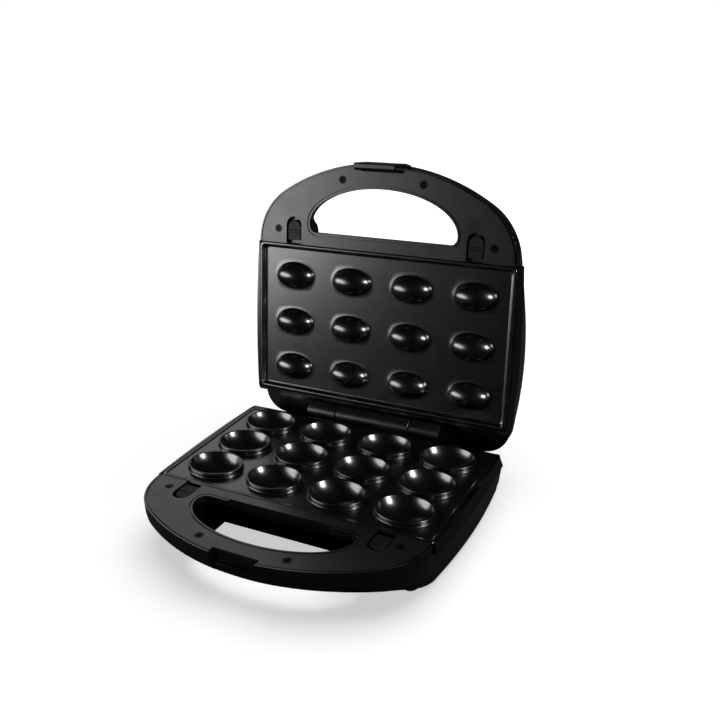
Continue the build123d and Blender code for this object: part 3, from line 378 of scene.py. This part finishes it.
def plate_patches(cup_size, top_rings, top, under_size, under_rings, under, slope):
    """All the surfaces of one plate: cells above and below, and the rim, flange and skirt between.

    The sizes are half a length and half a width. top and under are the heights of the two flat faces.
    """
    patches = []
    for column in range(4):
        for row in range(3):
            patches.append(cup_cell(column, row, *cup_size, top_rings, top))
            patches.append(cup_cell(column, row, *under_size, under_rings, under))
    border, counts = plate_border()
    # Inset, height and corner radius: up the recess's wall, over the rim, round the flange and
    # down the skirt, then back up inside to the underside.
    profile = [
        (4.0 + slope, top, 2.7), (3.1 + slope, top * 0.975, 2.7), (2.6 + slope * 0.85, top * 0.88, 2.7),
        (2.6 + slope * 0.3, top * 0.3, 2.7), (2.45, -0.10, 2.6), (2.2, 0.0, 2.5), (0.9, 0.0, 3.2),
        (0.5, -0.06, 3.5), (0.15, -0.3, 3.8), (0.0, -0.8, 4.0), (0.0, -3.6, 4.0), (0.3, -4.0, 3.8),
        (2.0, -4.0, 3.0), (2.0, -11.7, 3.0), (2.3, -12.0, 3.0), (4.2, -12.0, 1.8),
        (4.2, under - 0.6, 1.8), (4.8, under, 1.6),
    ]
    outlines = [(border, top)]
    outlines += [(rim_outline(inset, corner, counts), height) for inset, height, corner in profile]
    outlines.append((border, under))
    patches.append(np.stack([
        np.concatenate([outline, np.full((len(outline), 1), height)], axis=-1)
        for outline, height in outlines
    ]))
    return patches


# Non-stick coating: it flows a little before it sets, so every edge is soft, and the flat parts have
# a faint orange peel under a wide sheen.
nonstick_coating = finish_material(
    "dark_nonstick_coating", grain=0.006, fine=0.0012, bump=0.000002,
    light="#050505", dark="#030303", rough=0.25, spread=0.02, IOR=1.65,
)

# The bowl is a part of a ball that is stretched along x, with the same wall all over.
lower_face, lower_underside = -0.7, -3.2
cup_half_length, cup_half_width = 20.25, 16.0
bowl_reach, bowl_radius, bowl_centre, mouth_share = 21.09, 16.6667, 8.1667, 0.96
bowl_wall = 2.0
bowl_rings = [
    (t, 0.0, bowl_centre - bowl_radius * math.sqrt(1 - (mouth_share * t) ** 2))
    for t in np.linspace(0, 0.985, 17)
]
collar_rings = [
    (1, 0.05, 3.36), (1, 0.2, 3.47), (1, 0.4, 3.5), (1, 0.95, 3.5), (1, 1.2, 3.44), (1, 1.38, 3.3),
    (1, 1.5, 3.05), (1, 1.5, 0.2), (1, 1.56, -0.25), (1, 1.75, -0.55), (1, 2.1, -0.68),
    (1, 2.4, lower_face),
]
under_radius = bowl_radius + bowl_wall
under_share = math.sqrt(1 - ((bowl_centre - lower_underside) / under_radius) ** 2)
under_bowl = [
    (t, 0.0, bowl_centre - under_radius * math.sqrt(1 - (under_share * t) ** 2))
    for t in np.linspace(0, 1, 9)
]
under_size = ((bowl_reach + bowl_wall) * under_share, under_radius * under_share)
lower = joined_mesh("lower_baking_plate", [on_base(patch) for patch in plate_patches(
    (cup_half_length, cup_half_width), bowl_rings + collar_rings, lower_face,
    under_size, under_bowl, lower_underside, slope=0.6,
)], nonstick_coating)
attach(lower, "base")
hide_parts("lower_plate")

# Each dome is the top of a ball that is stretched along x, with a small fillet at its foot.
upper_face, upper_underside = -4.0, -8.0
dome_half_length, dome_radius, dome_centre, dome_wall = 17.5, 11.0, -5.5, 2.2
hollow_size = (dome_half_length - dome_wall, dome_radius - dome_wall)
foot_share = 0.991
dome_rings = [
    (math.sin(t), 0.0, dome_centre + dome_radius * math.cos(t))
    for t in np.radians(np.linspace(0, 80, 17))
] + [(foot_share, 0.02, -3.85), (foot_share, 0.12, -3.96), (foot_share, 0.3, upper_face)]
hollow_rings = [
    (math.sin(t), 0.0, dome_centre + hollow_size[1] * math.cos(t))
    for t in np.radians(np.linspace(0, 80, 9))
] + [(1, 0.0, dome_centre), (1, 0.05, upper_underside)]
upper = joined_mesh("upper_baking_plate", [on_lid(patch) for patch in plate_patches(
    (dome_half_length, dome_radius), dome_rings, upper_face,
    hollow_size, hollow_rings, upper_underside, slope=0.8,
)], nonstick_coating)
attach(upper, "lid")
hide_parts("upper_plate")


# Hinge
# Two cast brackets with wide round knuckles, held to the cases by moulded stakes.
# They are painted black and turn on a steel pin.

# Satin heatproof paint: thin and even, so a long soft highlight runs along the knuckles.
satin_paint = finish_material(
    "satin_black_heatproof_paint", grain=0.008, fine=0.0009, bump=0.00001,
    light="#0e0e0f", dark="#0a0a0b", rough=0.3, spread=0.04, IOR=1.5,
)
merged_copy("base_hinge_bracket", "base", "base_knuckle", satin_paint, 0.0005)
merged_copy("lid_hinge_bracket", "lid", "lid_knuckles", satin_paint, 0.0005)


# Catches and latch
# Small ABS mouldings: four catches that slide in the frames and free the plates when pulled,
# and one hooked latch that swings on a pin in the lid's handle.

# Matte ABS: a rough tool leaves it dull, so the catches stay darker than the frames round them.
matte_abs = finish_material(
    "matte_black_abs", grain=0.01, fine=0.0008, bump=0.00002,
    light="#0d0d0e", dark="#08080a", rough=0.5, spread=0.05, Specular_IOR_Level=0.2,
)
# Satin ABS: between the polish of the case and the grain of the frames.
satin_abs = finish_material(
    "satin_black_abs", grain=0.01, fine=0.0008, bump=0.000012,
    light="#0f0f10", dark="#0a0a0b", rough=0.34, spread=0.04, IOR=1.53,
)
for side in ("left", "right"):
    for level, half in (("lower", "base"), ("upper", "lid")):
        merged_copy(
            f"{level}_catch_{side}", f"{half}_catch_{side}",
            f"{level}_slide_{side}", matte_abs, 0.0003,
        )
merged_copy("latch_lever", "latch", "latch_hook", satin_abs, 0.0004)


# Screws, pins and springs
# All are steel: four blackened face screws sunk in each frame, the small plated screws inside,
# the ground pins of hinge and latch, and the wound springs of latch and catches.

# Blackened steel: a thin oxide that takes nearly all the shine away.
blackened_steel = finish_material(
    "blackened_steel", grain=0.003, fine=0.0004, bump=0.000006,
    light="#050505", dark="#030303", rough=0.35, spread=0.05, Specular_IOR_Level=0.08,
)
# Bright steel: a clear mirror, a little blurred by grinding and plating.
bright_steel = finish_material(
    "bright_steel", grain=0.004, fine=0.0004, bump=0.000004,
    light="#b9bbbd", dark="#9c9fa2", rough=0.28, spread=0.06, Metallic=1.0,
)
for half in ("base", "lid"):
    merged_copy(
        f"{half}_face_screws", half, f"{half}_frame_screws", blackened_steel, 0.00015,
    )
steel_nodes = (
    "hinge_pin", "latch_pin", "latch_spring", "lower_catch_spring_left", "lower_catch_spring_right",
    "upper_catch_spring_left", "upper_catch_spring_right", "lower_reflector_screws",
    "upper_reflector_screws", "cord_clamp_screws",
)
for node in steel_nodes:
    cad[node].data.materials.clear()
    cad[node].data.materials.append(bright_steel)


# Feet
# Four rubber feet, moulded with a stem each and pressed into the bottom,
# so that the hot appliance stands clear of the table and doesn't slide.

# Matte rubber: dull and a little greyer than the plastics.
matte_rubber = finish_material(
    "matte_black_rubber", grain=0.004, fine=0.0005, bump=0.00003,
    light="#1a1a1a", dark="#121212", rough=0.75, spread=0.08, IOR=1.52,
)
merged_copy("rubber_feet", "base", "feet", matte_rubber, 0.0006)


# Cord gland
# A moulded nylon bush at the rear left, held from inside by its nut,
# with a screwed clamp bar behind it that takes the pull of the cord.

# Black nylon: smooth, with a soft blurred shine.
black_nylon = finish_material(
    "black_nylon", grain=0.005, fine=0.0006, bump=0.00001,
    light="#171718", dark="#101011", rough=0.4, spread=0.05, IOR=1.53,
)
merged_copy("cord_gland", "base", "gland", black_nylon, 0.0004)
for node in ("cord_gland_nut", "cord_clamp"):
    cad[node].data.materials.clear()
    cad[node].data.materials.append(black_nylon)


# Lamps
# A red and a green acrylic lens are pushed into the lid from outside.
# Behind them two small glass bulbs sit in a nylon holder.

# Acrylic: clear through and through, so the lenses look deep in colour with a sharp shine.
red_acrylic = finish_material(
    "red_acrylic", grain=0.004, fine=0.0008, bump=0.000004,
    light="#b3261e", dark="#8f1b15", rough=0.12, spread=0.03, IOR=1.49, Transmission_Weight=0.35,
)
green_acrylic = finish_material(
    "green_acrylic", grain=0.004, fine=0.0008, bump=0.000004,
    light="#2aa34a", dark="#1d7d36", rough=0.12, spread=0.03, IOR=1.49, Transmission_Weight=0.35,
)
# Bulb glass: almost colourless and very smooth.
bulb_glass = finish_material(
    "bulb_glass", grain=0.003, fine=0.0008, bump=0.000002,
    light="#fbeee0", dark="#f4dfc8", rough=0.05, spread=0.02, IOR=1.5, Transmission_Weight=0.9,
)
# Pale nylon: undyed, so a warm off-white with a dull shine. It makes the two terminal blocks too.
pale_nylon = finish_material(
    "pale_nylon", grain=0.006, fine=0.0006, bump=0.00001,
    light="#e2ddcf", dark="#d4cebd", rough=0.5, spread=0.05, IOR=1.53,
)
merged_copy("power_lamp_lens", "lid", "red_lens_cap", red_acrylic, 0.0003)
merged_copy("ready_lamp_lens", "lid", "green_lens_cap", green_acrylic, 0.0003)
for node, material in (
    ("indicator_bulbs", bulb_glass), ("lamp_holder", pale_nylon),
    ("base_terminal_block", pale_nylon), ("lid_terminal_block", pale_nylon),
):
    cad[node].data.materials.clear()
    cad[node].data.materials.append(material)


# Heating parts
# A steel-sheathed tubular element in each half, held by saddles over a pressed aluminium reflector.
# A thermostat in each half and a thermal fuse in a clip switch them.

# Heated sheath: bare steel that has gone grey-green and dull with heat.
heated_sheath = finish_material(
    "heated_steel_sheath", grain=0.01, fine=0.0005, bump=0.00001,
    light="#7d7f76", dark="#5f6159", rough=0.42, spread=0.08, Metallic=1.0,
)
# Pressed aluminium: pale and bright, a little streaked by the rolls.
pressed_aluminium = finish_material(
    "pressed_aluminium", grain=0.012, fine=0.0004, bump=0.000006,
    light="#d6d8da", dark="#c2c5c8", rough=0.3, spread=0.06, Metallic=1.0,
)
# Plated brass: a warm, slightly dull mirror.
plated_brass = finish_material(
    "plated_brass", grain=0.004, fine=0.0004, bump=0.000004,
    light="#c9b37a", dark="#b49c62", rough=0.3, spread=0.06, Metallic=1.0,
)
for node, material in (
    ("lower_heater", heated_sheath), ("upper_heater", heated_sheath),
    ("lower_reflector", pressed_aluminium), ("upper_reflector", pressed_aluminium),
    ("lower_heater_saddles", pressed_aluminium), ("upper_heater_saddles", pressed_aluminium),
    ("thermostat_bracket", pressed_aluminium), ("fuse_clip", pressed_aluminium),
    ("lower_thermostat", bright_steel), ("upper_thermostat", bright_steel),
    ("thermal_fuse", plated_brass),
):
    cad[node].data.materials.clear()
    cad[node].data.materials.append(material)


# Floor, light and camera
# A white table top without an edge. A wide low window at the left, a fainter one behind and a small
# lamp at the right are seen only in reflections, and a large soft light overhead does the rest.

# The table top glows white to the camera and through clear pieces, less under the appliance, where it
# keeps its shadow. Polished pieces mirror a dim top instead, because a white one would turn them grey.
white_top = bpy.data.materials.new("white_table_top")
white_top.use_nodes = True
white_top.node_tree.nodes.clear()
matte_white = add_node(
    white_top, "ShaderNodeBsdfPrincipled",
    Base_Color=linear("#bcbcbc"), Roughness=0.7, Specular_IOR_Level=0.1,
)
spot = add_node(white_top, "ShaderNodeTexCoord").outputs["Object"]
distance = add_node(white_top, "ShaderNodeVectorMath", {"operation": "LENGTH"}, Vector=spot)
far_off = add_node(
    white_top, "ShaderNodeMapRange", {"interpolation_type": "SMOOTHSTEP"},
    Value=distance.outputs["Value"], From_Min=0.15, From_Max=0.7, To_Min=0.58, To_Max=1.0,
)
glow = add_node(
    white_top, "ShaderNodeEmission", Color=linear("#ffffff"), Strength=far_off.outputs[0]
)
dark = add_node(white_top, "ShaderNodeBsdfDiffuse", Color=linear("#3a3a3c"))
lifted = add_node(white_top, "ShaderNodeAddShader", _0=matte_white.outputs[0], _1=glow.outputs[0])


def shown_ray(owner):
    """The light path node, and 1 for rays from the camera and through clear pieces."""
    ray = add_node(owner, "ShaderNodeLightPath")
    shown = add_node(
        owner, "ShaderNodeMath", {"operation": "MAXIMUM"},
        _0=ray.outputs["Is Camera Ray"], _1=ray.outputs["Is Transmission Ray"],
    )
    return ray, shown.outputs[0]


ray, shown = shown_ray(white_top)
mirrored = add_node(
    white_top, "ShaderNodeMixShader",
    _0=ray.outputs["Is Glossy Ray"], _1=matte_white.outputs[0], _2=dark.outputs[0],
)
seen = add_node(
    white_top, "ShaderNodeMixShader", _0=shown, _1=mirrored.outputs[0], _2=lifted.outputs[0]
)
add_node(white_top, "ShaderNodeOutputMaterial", Surface=seen.outputs[0])
table_reach = 9
floor_mesh = bpy.data.meshes.new("table_top")
corners = np.array([(-1, -1, 0), (1, -1, 0), (1, 1, 0), (-1, 1, 0)]) * table_reach
floor_mesh.from_pydata(corners.tolist(), [], [(0, 1, 2, 3)])
floor_mesh.materials.append(white_top)
table_top = bpy.data.objects.new("table_top", floor_mesh)
bpy.context.collection.objects.link(table_top)

world = bpy.data.worlds.new("studio_air")
bpy.context.scene.world = world
world.use_nodes = True
world.node_tree.nodes.clear()
dim = add_node(world, "ShaderNodeBackground", Color=linear("#b8bcc2"), Strength=0.03)
bright = add_node(world, "ShaderNodeBackground", Color=linear("#ffffff"), Strength=1.0)
ray, shown = shown_ray(world)
air = add_node(world, "ShaderNodeMixShader", _0=shown, _1=dim.outputs[0], _2=bright.outputs[0])
add_node(world, "ShaderNodeOutputWorld", Surface=air.outputs[0])


def soft_light(name, place, target, width, height, power, mirrored):
    """An oval soft light in watts at a place, turned to a target.

    A mirrored one is seen only in reflections, and the other kind only lights the dull surfaces.
    """
    lamp = bpy.data.lights.new(name, "AREA")
    lamp.shape = "ELLIPSE"
    lamp.size = width
    lamp.size_y = height
    lamp.energy = power
    holder = bpy.data.objects.new(name, lamp)
    holder.visible_glossy = mirrored
    holder.visible_diffuse = not mirrored
    away = np.array(place, float) - np.array(target, float)
    away /= np.linalg.norm(away)
    across = np.cross([0, 0, 1], away)
    across /= np.linalg.norm(across)
    upward = np.cross(away, across)
    turned = np.eye(4)
    turned[:3, :3] = np.stack([across, upward, away], axis=1)
    turned[:3, 3] = place
    holder.matrix_world = Matrix(turned.tolist())
    bpy.context.collection.objects.link(holder)


soft_light("left_window", (-1.37, -0.92, 0.27), (0, 0, 0.12), 1.5, 0.8, power=27, mirrored=True)
soft_light("rear_window", (-1.0, 1.05, 0.95), (0, 0, 0.1), 1.1, 0.9, power=2.3, mirrored=True)
soft_light("right_lamp", (1.38, -0.42, 0.78), (0, 0.05, 0.12), 0.46, 0.4, power=40, mirrored=True)
soft_light("top_window", (0.2, 0.25, 1.5), (0, 0, 0), 1.8, 1.8, power=28, mirrored=False)

# The camera's place, turn and lens come from fitting it to the photo.
camera_lens = bpy.data.cameras.new("photo_camera")
camera_lens.sensor_width = 36.0
camera_lens.lens = 44.195
camera = bpy.data.objects.new("photo_camera", camera_lens)
right = (0.88811, 0.45816, -0.03667)
up = (-0.14662, 0.35802, 0.92213)
back = (0.43561, -0.81358, 0.38513)
place = (0.295756, -0.499002, 0.365549)
camera.matrix_world = Matrix([*zip(right, up, back, place), (0, 0, 0, 1)])
bpy.context.collection.objects.link(camera)
bpy.context.scene.camera = camera
bpy.context.scene.view_settings.view_transform = "Standard"
